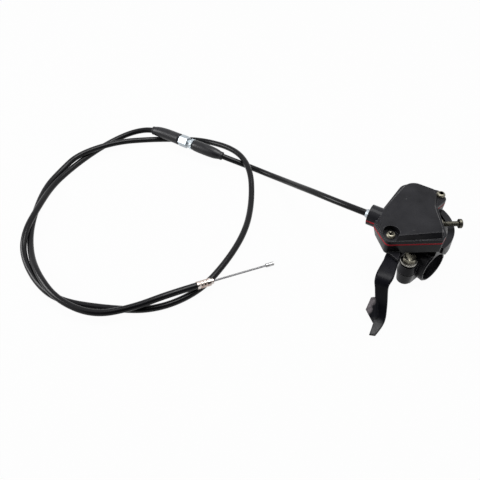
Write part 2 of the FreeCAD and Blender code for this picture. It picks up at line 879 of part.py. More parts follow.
def make_wing():
    """The flat wing beside the thumb's pad, of even thickness."""
    spots = [FreeCAD.Vector(*point) for point in wing_points]
    normal = (spots[1] - spots[3]).cross(spots[2] - spots[4]).normalize()
    middle = vec(0, 0)
    for spot in spots:
        middle = middle + spot * (1.0 / len(spots))
    flat = [spot - normal * ((spot - middle).dot(normal)) for spot in spots]
    start = [spot - normal * (wing_thickness / 2) for spot in flat]
    start.append(start[0])
    return Part.Face(Part.makePolygon(start)).extrude(normal * wing_thickness)


def wire_radius():
    """Distance from the pivot to the straight inner wire."""
    along = outlet_direction * -1
    reach = pivot - vec(outlet_x, outlet_y)
    return abs(along.x * reach.y - along.y * reach.x)


def tangent_angle():
    """Angle at which the inner wire meets the throttle arm."""
    along = outlet_direction * -1
    return math.degrees(math.atan2(-along.x, along.y))


def sector(inner, outer, start, end, bottom, top):
    """A slice of a ring round the pivot."""
    slice_solid = Part.makeCylinder(outer, top - bottom, vec(pivot_x, pivot_y, bottom), up,
                                    end - start)
    slice_solid.rotate(pivot, up, start)
    if inner > 0:
        slice_solid = slice_solid.cut(disc(pivot_x, pivot_y, inner, bottom, top))
    return slice_solid


def make_arm():
    radius = wire_radius()
    hub = disc(pivot_x, pivot_y, arm_hub_radius, hub_bottom, arm_top)
    outer = radius + arm_rim
    plate = sector(0, outer, arm_sector_start, arm_sector_end, arm_bottom, arm_top)
    plate = plate.fuse(disc(pivot_x, pivot_y, spring_radius + 2.5, arm_bottom, arm_top))
    # Stop block that meets the limiter screw's tip at the end of the travel
    centre = plan_of_pivot()
    face = limiter_tip_across
    low = limiter_along - 3.6
    block = Part.makeBox(4.5, 6.2, arm_top - hub_bottom,
                         vec(face - 4.5, low, hub_bottom))
    block.rotate(vec(0, 0), up, box_turn)
    block.rotate(pivot, up, -lever_travel - 0.4)
    block = block.cut(disc(pivot_x, pivot_y, stop_inner_radius, hub_bottom, arm_bottom))
    arm = hub.fuse(plate).fuse(block)
    # Groove for the inner wire in the arm's rim
    groove = ring(pivot_x, pivot_y, outer + 1, radius - wire_diameter / 2,
                  cable_height - wire_diameter / 2 - 0.1, cable_height + wire_diameter / 2 + 0.1)
    arm = arm.cut(groove.common(sector(0, outer + 2, arm_sector_start - 2, arm_sector_end + 2,
                                       arm_bottom, arm_top)))
    seat = polar(nipple_angle, radius)
    arm = arm.cut(disc(seat.x, seat.y, nipple_diameter / 2 + 0.1, arm_bottom, arm_top))
    arm = arm.cut(disc(pivot_x, pivot_y, shaft_radius, hub_bottom, arm_top))
    return arm.removeSplitter()


def plan_of_pivot():
    """The pivot's place in the box's own plan."""
    turn = math.radians(box_turn)
    across = pivot_x * math.cos(turn) + pivot_y * math.sin(turn)
    along = -pivot_x * math.sin(turn) + pivot_y * math.cos(turn)
    return across, along


def make_clip():
    bottom = arm_top + 0.2
    clip = ring(pivot_x, pivot_y, clip_diameter / 2, shaft_radius - 0.8,
                bottom, bottom + clip_thickness)
    mouth = Part.makeBox(clip_diameter, shaft_radius, clip_thickness,
                         vec(0, -shaft_radius / 2, bottom))
    mouth.rotate(vec(0, 0), up, 120)
    mouth.translate(vec(pivot_x, pivot_y))
    return clip.cut(mouth)


def make_arm_nipple():
    spot = polar(nipple_angle, wire_radius())
    nipple = disc(spot.x, spot.y, nipple_diameter / 2, arm_bottom + 0.3, arm_top - 0.2)
    return nipple.cut(wire_shape(wire_diameter))


def wire_shape(diameter):
    """Inner wire from the casing ferrule, round the arm, to its nipple."""
    radius = wire_radius()
    meet = tangent_angle()
    touch = polar(meet, radius, cable_height)
    start = outlet - outlet_direction * (ferrule_depth - 1.5)
    straight = rod(start, outlet_direction * -1, diameter / 2, (touch - start).Length)
    end = polar(nipple_angle, radius, cable_height)
    middle = polar((meet + nipple_angle) / 2, radius, cable_height)
    bend = Part.Wire(Part.Arc(touch, middle, end).toShape())
    circle = Part.Wire(Part.Circle(touch, outlet_direction, diameter / 2).toShape())
    return straight.fuse(bend.makePipeShell([circle], True, True)).removeSplitter()


def make_return_spring():
    """A torsion spring: coils round the arm's hub and two legs that point outwards."""
    upper_leg = lever_angle + 56.4
    lower_leg = post_angle - math.degrees(
        math.asin((post_radius + spring_wire / 2 + 0.05) / (spring_leg - 0.8)))
    sweep = (upper_leg - lower_leg) % 360 + 720
    height = spring_top - spring_bottom
    pitch = height / (sweep / 360)
    steps = math.ceil(sweep / spring_step)
    bends = []
    for i in range(steps):
        spots = []
        for share in (i / steps, (i + 0.5) / steps, (i + 1) / steps):
            turn = math.radians(sweep * share)
            spots.append(vec(spring_radius * math.cos(turn), spring_radius * math.sin(turn),
                             height * share))
        bends.append(Part.Arc(*spots).toShape())
    start = vec(spring_radius, 0)
    lean = vec(0, 2 * math.pi * spring_radius, pitch)
    circle = Part.Wire(Part.Circle(start, lean, spring_wire / 2).toShape())
    coil = Part.Wire(bends).makePipeShell([circle], True, True)
    coil.rotate(vec(0, 0), up, lower_leg)
    coil.translate(vec(pivot_x, pivot_y, spring_bottom))
    spring = coil
    for angle, z in ((lower_leg, spring_bottom), (upper_leg, spring_top)):
        root = polar(angle, spring_radius, z)
        outward = (polar(angle, spring_leg, z) - root)
        length = outward.Length
        spring = spring.fuse(Part.makeSphere(spring_wire / 2, root))
        spring = spring.fuse(rod(root, outward.normalize(), spring_wire / 2, length))
    return spring


def make_limiter():
    length = limiter_head_across - limiter_tip_across
    base = plan(limiter_head_across, limiter_along, limiter_height)
    radius = limiter_diameter / 2
    head = limiter_head_diameter / 2
    profile = [
        (0, -length),
        (radius - 0.9, -length),
        (radius, -length + 0.9),
        (radius, 0),
        (head, 0),
        (head, limiter_head_height * 0.8),
        (head - 0.6, limiter_head_height),
        (0, limiter_head_height),
    ]
    screw = turned(profile, base, side)
    face = base + side * limiter_head_height
    return screw.cut(cross_recess(face, side, limiter_head_diameter * 0.6, 1.4))


def make_limiter_nut():
    wall = rim_corners[2][0]
    base = plan(wall, limiter_along, limiter_height)
    nut = hexagon(base, side, limiter_nut_flats, limiter_nut_height)
    return nut.cut(rod(base, side, limiter_diameter / 2 + running_gap, limiter_nut_height))


def make_casing_ferrule():
    profile = [
        (wire_diameter / 2, -ferrule_depth),
        (ferrule_diameter / 2, -ferrule_depth),
        (ferrule_diameter / 2, ferrule_proud - 0.5),
        (ferrule_diameter / 2 - 0.3, ferrule_proud),
        (cable_diameter / 2 + running_gap, ferrule_proud),
        (cable_diameter / 2 + running_gap, -ferrule_depth + 2),
        (wire_diameter / 2, -ferrule_depth + 2),
    ]
    return turned(profile, outlet, outlet_direction)


# Axis of the adjuster, and a place along it
adjuster_from = vec(adjuster_start[0], adjuster_start[1], adjuster_height)
adjuster_to = vec(adjuster_end[0], adjuster_end[1], adjuster_height)
adjuster_axis = (adjuster_to - adjuster_from).normalize()


def on_adjuster(distance):
    return adjuster_from + adjuster_axis * distance


upper_edges, upper_radii = route_edges(upper_route)
lower_edges, lower_radii = route_edges(lower_route)
casing_seat = (FreeCAD.Vector(*upper_route[-1]) - adjuster_from).Length
sleeve_seat = (FreeCAD.Vector(*lower_route[0]) - adjuster_from).Length
cup_start = casing_seat - 5.0
cup_end = casing_seat + 5.0
lock_nut_start = upper_boot_length + 0.4
lock_nut_end = lock_nut_start + 2.6
hex_start = lock_nut_end + 2.8
hex_end = hex_start + 8.4
screw_end = hex_end + 2.0
sleeve_end = sleeve_seat + 5.0
tail_radius = cup_radius


def make_upper_boot(casing):
    """Rubber boot, its neck bent with the casing and its hollow over the cup."""
    stations = []
    total = sum(edge.Length for edge in upper_edges)
    neck = total - casing_seat
    for step, radius in ((-1.0, boot_end_radius), (3.0, boot_end_radius + 0.3),
                         (6.5, boot_end_radius + 0.9), (9.5, boot_radius)):
        centre, direction = route_station(upper_edges, neck + step)
        stations.append((centre, direction, radius))
    stations.append((on_adjuster(14.0), adjuster_axis, boot_radius))
    stations.append((on_adjuster(upper_boot_length), adjuster_axis, boot_radius))
    boot = round_loft(stations)
    boot = boot.cut(casing)
    hollow = rod(on_adjuster(cup_start), adjuster_axis, cup_radius, cup_end - cup_start)
    thread = rod(on_adjuster(cup_start), adjuster_axis, adjuster_thread / 2, 40)
    return boot.cut(hollow).cut(thread)


def make_lower_boot(casing):
    stations = [
        (on_adjuster(lower_boot_start), adjuster_axis, boot_radius),
        (on_adjuster(lower_boot_start + 14.0), adjuster_axis, boot_radius),
    ]
    for step, radius in ((7.0, boot_radius - 0.2), (11.0, boot_end_radius + 0.9),
                         (15.0, boot_end_radius + 0.4), (19.0, boot_end_radius)):
        centre, direction = route_station(lower_edges, step)
        stations.append((centre, direction, radius))
    boot = round_loft(stations)
    hollow = rod(on_adjuster(lower_boot_start), adjuster_axis, tail_radius + running_gap,
                 sleeve_end - lower_boot_start)
    return boot.cut(casing).cut(hollow)


def make_adjuster_screw():
    """Threaded body of the cable adjuster, with a cup for the casing's end."""
    thread = adjuster_thread / 2
    profile = [
        (wire_diameter / 2, casing_seat),
        (cable_diameter / 2, casing_seat),
        (cable_diameter / 2, cup_start),
        (cup_radius, cup_start),
        (cup_radius, cup_end),
        (thread, cup_end),
        (thread, screw_end - 0.6),
        (thread - 0.6, screw_end),
        (wire_diameter / 2, screw_end),
    ]
    return turned(profile, adjuster_from, adjuster_axis)


def make_adjuster_lock_nut():
    thickness = lock_nut_end - lock_nut_start
    nut = rod(on_adjuster(lock_nut_start), adjuster_axis, lock_nut_radius, thickness)
    for i in range(18):
        flute = rod(on_adjuster(lock_nut_start), adjuster_axis, 0.35, thickness)
        flute.translate(vec(0, 0, lock_nut_radius))
        flute.rotate(adjuster_from, adjuster_axis, i * 20)
        nut = nut.cut(flute)
    bore_hole = rod(on_adjuster(lock_nut_start), adjuster_axis, adjuster_thread / 2, thickness)
    return nut.cut(bore_hole)


def make_adjuster_sleeve():
    """Turning half of the adjuster: a hexagon and a tail that holds the casing."""
    length = hex_end - hex_start
    body = hexagon(on_adjuster(hex_start), adjuster_axis, adjuster_hex_flats, length)
    tail = rod(on_adjuster(hex_end), adjuster_axis, tail_radius, sleeve_end - hex_end)
    body = body.fuse(tail)
    thread = rod(on_adjuster(hex_start), adjuster_axis, adjuster_thread / 2 + running_gap,
                 screw_end + 2 - hex_start)
    way = rod(on_adjuster(hex_start), adjuster_axis, wire_diameter / 2 + 0.3, 30)
    seat = rod(on_adjuster(sleeve_seat - running_gap), adjuster_axis,
               cable_diameter / 2 + running_gap, 10)
    return body.cut(thread).cut(way).cut(seat).removeSplitter()


end_point = FreeCAD.Vector(*lower_route[-1])
end_axis = (end_point - FreeCAD.Vector(*lower_route[-2])).normalize()
end_face = end_ferrule_length - casing_insert
wire_start = end_face - wire_overlap
wire_travel = math.radians(lever_travel) * wire_radius()
bore_depth = wire_travel + wire_overlap - end_face + 2.0


def make_end_ferrule():
    """Crimped ferrule on the casing's free end."""
    outer = end_ferrule_diameter / 2
    length = end_ferrule_length
    bore_hole = wire_diameter / 2 + wire_bore_gap
    profile = [
        (cable_diameter / 2, -casing_insert),
        (outer, -casing_insert),
    ]
    for place in (0.22, 0.40, 0.58):
        profile.append((outer, -casing_insert + length * (place - 0.05)))
        profile.append((outer - 0.25, -casing_insert + length * place))
        profile.append((outer, -casing_insert + length * (place + 0.05)))
    profile += [
        (outer, end_face - 2.2),
        (outer - 0.9, end_face - 1.6),
        (outer - 0.9, end_face),
        (bore_hole, end_face),
        (bore_hole, 0),
        (cable_diameter / 2, 0),
    ]
    return turned(profile, end_point, end_axis)


def make_end_wire():
    start = end_point + end_axis * wire_start
    length = free_wire + wire_overlap
    return rod(start, end_axis, wire_diameter / 2, length)


def make_end_nipple():
    start = end_point + end_axis * (end_face + free_wire - end_nipple_length)
    nipple = rod(start, end_axis, end_nipple_diameter / 2, end_nipple_length)
    return nipple.cut(make_end_wire())


upper_casing = swept_tube(upper_edges, cable_diameter)
lower_casing = swept_tube(lower_edges, cable_diameter)
wire_way = rod(end_point - end_axis * bore_depth, end_axis,
               wire_diameter / 2 + wire_bore_gap, bore_depth + 1)

parts["housing"] = make_housing()
parts["gasket"] = make_gasket()
parts["cover"] = make_cover()
parts["cover_screw_front"] = make_cover_screw(front_screw_across, front_screw_along)
parts["cover_screw_rear"] = make_cover_screw(rear_screw_across, rear_screw_along)
parts["clamp_cap"] = make_cap()
stack = washer_thickness + spring_washer_thickness
parts["clamp_bolt_front"] = make_bolt(
    vec(front_bolt_x, front_bolt_y, lug_top + stack), up, lug_top + stack - front_lug_bottom - 0.5)
parts["clamp_washer_front"] = make_washer(
    front_bolt_x, front_bolt_y, lug_top + spring_washer_thickness, washer_thickness,
    washer_diameter)
parts["clamp_spring_washer_front"] = make_spring_washer(front_bolt_x, front_bolt_y, lug_top)
rear_base = vec(rear_bolt_x, rear_bolt_y, rear_lug_bottom - washer_thickness)
parts["clamp_bolt_rear"] = make_bolt(rear_base, up * -1, rear_bolt_tip() - rear_base.z)
parts["clamp_washer_rear"] = make_washer(
    rear_bolt_x, rear_bolt_y, rear_base.z, washer_thickness, washer_diameter)
parts["pivot_bush"] = make_bush()
parts["pivot_shaft"] = make_shaft()
parts["thumb_lever"] = make_lever()
parts["throttle_arm"] = make_arm()
parts["arm_clip"] = make_clip()
parts["inner_wire"] = wire_shape(wire_diameter)
parts["arm_nipple"] = make_arm_nipple()
parts["return_spring"] = make_return_spring()
parts["limiter_screw"] = make_limiter()
parts["limiter_lock_nut"] = make_limiter_nut()
parts["casing_ferrule"] = make_casing_ferrule()
parts["casing_upper"] = upper_casing
parts["boot_upper"] = make_upper_boot(upper_casing)
parts["adjuster_screw"] = make_adjuster_screw()
parts["adjuster_lock_nut"] = make_adjuster_lock_nut()
parts["adjuster_sleeve"] = make_adjuster_sleeve()
parts["boot_lower"] = make_lower_boot(lower_casing)
parts["casing_lower"] = lower_casing.cut(wire_way)
parts["end_ferrule"] = make_end_ferrule()
parts["end_wire"] = make_end_wire()
parts["end_nipple"] = make_end_nipple()

for name, shape in parts.items():
    shape.exportStep("parts/" + name + ".step")
    print(name, "solids", len(shape.Solids), "valid", shape.isValid(), round(shape.Volume, 1))

for name, edges, radii in (("upper", upper_edges, upper_radii), ("lower", lower_edges, lower_radii)):
    length = sum(edge.Length for edge in edges)
    area = math.pi * cable_diameter ** 2 / 4
    print(name, "casing length", round(length, 1), "tube volume share",
          round(parts["casing_" + name].Volume / (area * length), 4),
          "bend radii", [round(radius, 1) for radius in radii])
print("wire radius", round(wire_radius(), 3), "travel", round(wire_travel, 2),
      "meets at", round(tangent_angle(), 2))
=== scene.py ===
# %% [markdown]
# # A thumb throttle lever and its cable
# The real object is a small painted die casting that clamps on a handlebar.
# A thumb lever under it pulls a cable, which lies here in two loose loops.
# The solids come packed from the CAD side. This lesson dresses them: it bevels
# the fasteners, lays the cable as smooth curves, cuts real threads, twists the
# wire from strands and gives every piece its paint, plating or rubber.

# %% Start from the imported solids
import json
import math

import bmesh
import bpy
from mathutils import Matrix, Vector

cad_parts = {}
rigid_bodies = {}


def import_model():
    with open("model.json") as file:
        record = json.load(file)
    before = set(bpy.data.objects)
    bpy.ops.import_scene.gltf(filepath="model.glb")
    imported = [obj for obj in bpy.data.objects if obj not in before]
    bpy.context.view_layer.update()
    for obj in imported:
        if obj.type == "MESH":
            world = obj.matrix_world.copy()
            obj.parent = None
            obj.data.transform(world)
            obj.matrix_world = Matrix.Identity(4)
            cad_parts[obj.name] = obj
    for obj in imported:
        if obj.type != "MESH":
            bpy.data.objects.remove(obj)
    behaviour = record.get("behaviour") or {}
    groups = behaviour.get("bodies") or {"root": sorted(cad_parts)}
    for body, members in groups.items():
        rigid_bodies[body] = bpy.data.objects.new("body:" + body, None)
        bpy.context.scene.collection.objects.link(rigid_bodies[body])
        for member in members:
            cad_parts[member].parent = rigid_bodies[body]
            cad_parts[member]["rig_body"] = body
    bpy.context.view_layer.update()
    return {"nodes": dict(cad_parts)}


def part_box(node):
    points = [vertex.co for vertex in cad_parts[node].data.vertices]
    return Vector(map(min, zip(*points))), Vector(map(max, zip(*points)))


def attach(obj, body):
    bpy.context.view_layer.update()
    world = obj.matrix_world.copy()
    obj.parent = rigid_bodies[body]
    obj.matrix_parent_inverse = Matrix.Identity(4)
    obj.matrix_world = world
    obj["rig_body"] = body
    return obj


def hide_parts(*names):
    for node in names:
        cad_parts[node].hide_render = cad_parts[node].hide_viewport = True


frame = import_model()
nodes = frame["nodes"]
MM = 0.001
UP = Vector((0, 0, 1))
scene = bpy.context.scene
print("packed solids:", len(nodes))

# %% [markdown]
# ## Camera
# The camera looks down at 46 degrees from the front right. Its place was worked
# out from the round mouth of the bar clamp, whose real size is known. A lens
# with this little perspective keeps the far loops of the cable in proportion.

# %% Camera
CAMERA_PLACE = Vector((136.33, -302.93, 339.78)) * MM
CAMERA_AIM = Vector((-0.52701, 0.45255, -0.71934))
LENS = 46.5

camera_data = bpy.data.cameras.new("photo_camera")
camera_data.lens = LENS
camera_data.sensor_width = 36.0
camera_data.clip_start = 0.01
camera_data.clip_end = 20.0
camera = bpy.data.objects.new("photo_camera", camera_data)
camera.location = CAMERA_PLACE
camera.rotation_mode = "QUATERNION"
camera.rotation_quaternion = CAMERA_AIM.to_track_quat("-Z", "Y")
scene.collection.objects.link(camera)
scene.camera = camera
print("camera height in metres:", round(camera.location.z, 3))

# %% [markdown]
# ## The casing's route
# A control cable's casing is a springy tube, so it lies in wide curves and
# crosses itself in long low humps. One NURBS curve with few points bends the
# way such a tube does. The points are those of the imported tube, in millimetres.

# %% Route points
UPPER_ROUTE = [
    (-46.2, -16.0, 27.2), (-60.5, -20.6, 27.2), (-83.4, -23.1, 22.9),
    (-104.3, -21.5, 15.8), (-124.0, -17.1, 6.0), (-143.7, -12.0, -4.2),
    (-164.8, -10.7, -11.5), (-186.5, -16.2, -12.4), (-205.5, -31.6, -4.2),
    (-221.8, -36.6, -4.2),
]
LOWER_ROUTE = [
    (-258.8, -48.0, -4.2), (-276.0, -53.3, -4.2), (-288.0, -66.4, -6.2),
    (-293.0, -86.8, -9.0), (-293.2, -110.2, -11.9), (-286.0, -137.1, -11.9),
    (-276.2, -161.6, -11.9), (-253.2, -186.1, -6.4), (-235.4, -207.2, -6.4),
    (-218.1, -219.5, -11.9), (-186.3, -224.8, -11.9), (-159.9, -220.6, -11.9),
    (-132.1, -198.5, -11.9), (-107.7, -172.8, -11.9), (-100.7, -137.6, -11.9),
    (-111.6, -101.1, -11.9), (-127.3, -69.7, -11.9), (-150.3, -43.4, -11.9),
    (-175.4, -23.0, -5.1), (-204.0, -14.8, -5.1), (-240.0, -21.8, -11.9),
    (-257.9, -39.5, -11.9), (-275.1, -60.0, -11.9), (-286.3, -90.5, -6.4),
    (-292.7, -125.2, -6.4), (-289.6, -145.2, -11.9), (-277.1, -169.0, -11.9),
    (-246.0, -197.5, -11.9), (-218.8, -213.0, -11.9), (-187.4, -221.4, -6.4),
    (-157.0, -222.4, -6.4), (-128.9, -210.2, -6.4), (-116.3, -185.9, -6.4),
    (-107.2, -158.1, -3.6), (-100.7, -134.1, -6.0),
]
CASING_DIAMETER = 5.0 * MM


def collect(piece):
    """Put a new object into the scene."""
    scene.collection.objects.link(piece)
    return piece


def laid_tube(name, points, diameter):
    """A smooth round tube along a route, as one open curve."""
    data = bpy.data.curves.new(name, "CURVE")
    data.dimensions = "3D"
    data.bevel_depth = 1.0
    data.bevel_resolution = 5
    data.resolution_u = 10
    data.use_fill_caps = True
    spline = data.splines.new("NURBS")
    spline.points.add(len(points) - 1)
    for point, place in zip(spline.points, points):
        point.co = (*(Vector(place) * MM), 1.0)
        point.radius = diameter / 2
    spline.order_u = 3
    spline.use_endpoint_u = True
    return collect(bpy.data.objects.new(name, data))


upper_tube = laid_tube("casing_upper_tube", UPPER_ROUTE, CASING_DIAMETER)
lower_tube = laid_tube("casing_lower_tube", LOWER_ROUTE, CASING_DIAMETER)
for tube, node in ((upper_tube, "casing_upper"), (lower_tube, "casing_lower")):
    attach(tube, "housing")
    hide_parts(node)
print("route points:", len(UPPER_ROUTE), len(LOWER_ROUTE))

# %% [markdown]
# Boots and strands have to follow the same curve. A copy of the curve without
# its thickness turns into a plain chain of vertices, and a place along that
# chain is then found by its distance from the start.

# %% Reading places off a curve


def chain_of(tube):
    """The vertices of a tube's middle line, in order."""
    bare = tube.data.copy()
    bare.bevel_depth = 0.0
    line = bpy.data.objects.new("bare_line", bare)
    mesh = bpy.data.meshes.new_from_object(line)
    chain = [vertex.co.copy() for vertex in mesh.vertices]
    bpy.data.meshes.remove(mesh)
    bpy.data.objects.remove(line)
    bpy.data.curves.remove(bare)
    return chain


def chain_length(chain):
    """The distance from the first vertex to the last, along the chain."""
    return sum((b - a).length for a, b in zip(chain, chain[1:]))


def along(chain, distance):
    """Place and direction at a distance along a chain, straight on past its ends."""
    left = distance
    for a, b in zip(chain, chain[1:]):
        step = (b - a).length
        if left <= step or b is chain[-1]:
            direction = (b - a).normalized()
            return a + direction * left, direction
        left -= step


upper_chain = chain_of(upper_tube)
lower_chain = chain_of(lower_tube)
upper_length = chain_length(upper_chain)
print("casing lengths:", round(upper_length, 4), round(chain_length(lower_chain), 4))

# %% [markdown]
# ## Effects that several finishes share
# Paint on a casting shows a fine grain, every handled thing has broad smudges
# in its gloss, edges rub bare first and also get a painted highlight along them,
# and turned metal has fine streaks round its axis. Each of these is built once as
# a node group that puts out a height or a mask, and every material then sets its
# own scale and strength.

# %% Helpers for node trees
WHITE = (1.0, 1.0, 1.0, 1.0)
BEVEL_SAMPLES = 4


def add(tree, kind, inputs=None, **settings):
    """A new node; inputs hold plain values or the sockets to link from."""
    node = tree.nodes.new(kind)
    for name, value in settings.items():
        setattr(node, name, value)
    for name, value in (inputs or {}).items():
        if isinstance(value, bpy.types.NodeSocket):
            tree.links.new(value, node.inputs[name])
        else:
            node.inputs[name].default_value = value
    return node


def effect(name, inputs, outputs):
    """An empty node group with named number inputs and outputs."""
    tree = bpy.data.node_groups.new(name, "ShaderNodeTree")
    for label, value in inputs:
        kind = "NodeSocketVector" if isinstance(value, tuple) else "NodeSocketFloat"
        socket = tree.interface.new_socket(label, in_out="INPUT", socket_type=kind)
        socket.default_value = value
    for label in outputs:
        tree.interface.new_socket(label, in_out="OUTPUT", socket_type="NodeSocketFloat")
    entry = tree.nodes.new("NodeGroupInput")
    result = tree.nodes.new("NodeGroupOutput")
    return tree, entry.outputs, result.inputs


def arithmetic(tree, operation, first, second):
    """The result of one math node."""
    return add(tree, "ShaderNodeMath", {0: first, 1: second}, operation=operation).outputs[0]


# %% Grain of a painted casting
grain_group, given, result = effect("cast_grain", [("Scale", 1600.0)], ["Height"])
place = add(grain_group, "ShaderNodeTexCoord").outputs["Object"]
fine = add(grain_group, "ShaderNodeTexNoise",
           {"Vector": place, "Scale": given["Scale"], "Detail": 3.0, "Roughness": 0.6})
pebble_scale = arithmetic(grain_group, "MULTIPLY", given["Scale"], 0.45)
pebbles = add(grain_group, "ShaderNodeTexVoronoi",
              {"Vector": place, "Scale": pebble_scale}, feature="SMOOTH_F1")
pebble_part = arithmetic(grain_group, "MULTIPLY", pebbles.outputs["Distance"], 0.6)
grain_group.links.new(
    arithmetic(grain_group, "ADD", fine.outputs["Fac"], pebble_part), result["Height"])

# %% Broad smudges
smudge_group, given, result = effect(
    "smudges", [("Scale", 60.0), ("Low", 0.0), ("High", 1.0)], ["Value"])
place = add(smudge_group, "ShaderNodeTexCoord").outputs["Object"]
cloud = add(smudge_group, "ShaderNodeTexNoise",
            {"Vector": place, "Scale": given["Scale"], "Detail": 4.0, "Distortion": 0.6})
spread = add(smudge_group, "ShaderNodeMapRange",
             {"Value": cloud.outputs["Fac"], "From Min": 0.32, "From Max": 0.68,
              "To Min": given["Low"], "To Max": given["High"]})
smudge_group.links.new(spread.outputs["Result"], result["Value"])

# %% Rubbed edges and painted edge highlights
edge_wear_and_highlight_group, given, result = effect(
    "rubbed_edges_and_highlights", [("Radius", 0.0006), ("Gain", 6.0), ("Breakup", 500.0)], ["Mask"])
rounded = add(edge_wear_and_highlight_group, "ShaderNodeBevel", {"Radius": given["Radius"]},
              samples=BEVEL_SAMPLES)
true_normal = add(edge_wear_and_highlight_group, "ShaderNodeNewGeometry").outputs["Normal"]
alike = add(edge_wear_and_highlight_group, "ShaderNodeVectorMath",
            {0: rounded.outputs["Normal"], 1: true_normal}, operation="DOT_PRODUCT")
turned_away = arithmetic(edge_wear_and_highlight_group, "SUBTRACT", 1.0, alike.outputs["Value"])
strong = arithmetic(edge_wear_and_highlight_group, "MULTIPLY", turned_away, given["Gain"])
place = add(edge_wear_and_highlight_group, "ShaderNodeTexCoord").outputs["Object"]
patchy = add(edge_wear_and_highlight_group, "ShaderNodeTexNoise",
             {"Vector": place, "Scale": given["Breakup"], "Detail": 2.0})
broken = arithmetic(edge_wear_and_highlight_group, "MULTIPLY", strong, patchy.outputs["Fac"])
edge_wear_and_highlight_group.links.new(
    add(edge_wear_and_highlight_group, "ShaderNodeClamp", {"Value": broken}).outputs[0], result["Mask"])

# %% Streaks left by turning or drawing
streak_group, given, result = effect(
    "streaks", [("Scale", 900.0), ("Stretch", (1.0, 1.0, 1.0)), ("Turn", (0.0, 0.0, 0.0))],
    ["Height"])
place = add(streak_group, "ShaderNodeTexCoord").outputs["Object"]
laid = add(streak_group, "ShaderNodeMapping",
           {"Vector": place, "Rotation": given["Turn"], "Scale": given["Stretch"]})
hair = add(streak_group, "ShaderNodeTexNoise",
           {"Vector": laid.outputs["Vector"], "Scale": given["Scale"], "Detail": 3.0})
streak_group.links.new(hair.outputs["Fac"], result["Height"])

# %% Painted highlight patch
patch_group, given, result = effect(
    "painted_highlight_patch", [("Centre", (0.0, 0.0, 0.0)), ("Reach", 0.006), ("Soft", 0.002),
                   ("Grain", 900.0)], ["Mask"])
place = add(patch_group, "ShaderNodeTexCoord").outputs["Object"]
away = add(patch_group, "ShaderNodeVectorMath", {0: place, 1: given["Centre"]},
           operation="DISTANCE").outputs["Value"]
margin = arithmetic(patch_group, "SUBTRACT", given["Reach"], away)
inside = arithmetic(patch_group, "DIVIDE", margin, given["Soft"])
grit = add(patch_group, "ShaderNodeTexNoise",
           {"Vector": place, "Scale": given["Grain"], "Detail": 3.0, "Roughness": 0.7})
lumpy = add(patch_group, "ShaderNodeMapRange",
            {"Value": grit.outputs["Fac"], "From Min": 0.35, "From Max": 0.62,
             "To Min": 0.45, "To Max": 1.0})
faded = add(patch_group, "ShaderNodeClamp", {"Value": inside}).outputs[0]
patch_group.links.new(
    arithmetic(patch_group, "MULTIPLY", faded, lumpy.outputs["Result"]), result["Mask"])
print("effects:", [group.name for group in bpy.data.node_groups])

# %% [markdown]
# ## Finishes
# Every finish is one Principled shader. The groups only feed its colour,
# roughness and bump. One function makes the common frame, because all of them
# want a mottled colour, an uneven gloss and a little relief, and the
# differences are a handful of numbers.

# %% One function for the common frame
BUMP_DISTANCE = 0.1 * MM
PATCH_SOFTNESS = 0.4
GLOSS_SCALE = 2.3


def use(tree, group, **inputs):
    """Place an effect group in a material with its own values."""
    node = tree.nodes.new("ShaderNodeGroup")
    node.node_tree = group
    for name, value in inputs.items():
        node.inputs[name].default_value = value
    return node.outputs[0]


def mix_colour(tree, factor, first, second):
    """One colour laid over another by a factor; each is a socket or plain numbers."""
    node = add(tree, "ShaderNodeMix", {"Factor": factor}, data_type="RGBA")
    for index, colour in ((6, first), (7, second)):
        if isinstance(colour, bpy.types.NodeSocket):
            tree.links.new(colour, node.inputs[index])
        else:
            node.inputs[index].default_value = (*colour, 1.0)
    return node.outputs[2]


def finish(name, dark, light, gloss, mottle=60.0, relief=None, depth=0.1, edge=None,
           edge_gain=6.0, rounding=None, painted_highlights=(), **constants):
    """A material: two mottled colours, a range of roughness, a relief, rubbed edges with painted
    edge highlights, and painted highlight patches.
    """
    material = bpy.data.materials.new(name)
    material.use_nodes = True
    tree = material.node_tree
    shader = tree.nodes["Principled BSDF"]
    blotch = use(tree, smudge_group, Scale=mottle)
    colour = mix_colour(tree, blotch, dark, light)
    if edge is not None:
        rubbed_and_highlit = use(tree, edge_wear_and_highlight_group, Gain=edge_gain)
        colour = mix_colour(tree, rubbed_and_highlit, colour, edge)
    # Each patch lays a lighter tone over the colour, a painted highlight.
    for centre, reach, tone in painted_highlights:
        patch = use(tree, patch_group, Centre=centre, Reach=reach, Soft=reach * PATCH_SOFTNESS)
        colour = mix_colour(tree, patch, colour, tone)
    tree.links.new(colour, shader.inputs["Base Color"])
    rough = use(tree, smudge_group, Scale=mottle * GLOSS_SCALE, Low=gloss[0], High=gloss[1])
    tree.links.new(rough, shader.inputs["Roughness"])
    if relief is not None:
        group, values = relief
        height = use(tree, group, **values)
        bump = add(tree, "ShaderNodeBump",
                   {"Height": height, "Strength": depth, "Distance": BUMP_DISTANCE})
        if rounding is not None:
            soft = add(tree, "ShaderNodeBevel", {"Radius": rounding},
                       samples=BEVEL_SAMPLES)
            tree.links.new(soft.outputs["Normal"], bump.inputs["Normal"])
        tree.links.new(bump.outputs["Normal"], shader.inputs["Normal"])
    for label, value in constants.items():
        shader.inputs[label.replace("_", " ")].default_value = value
    return material
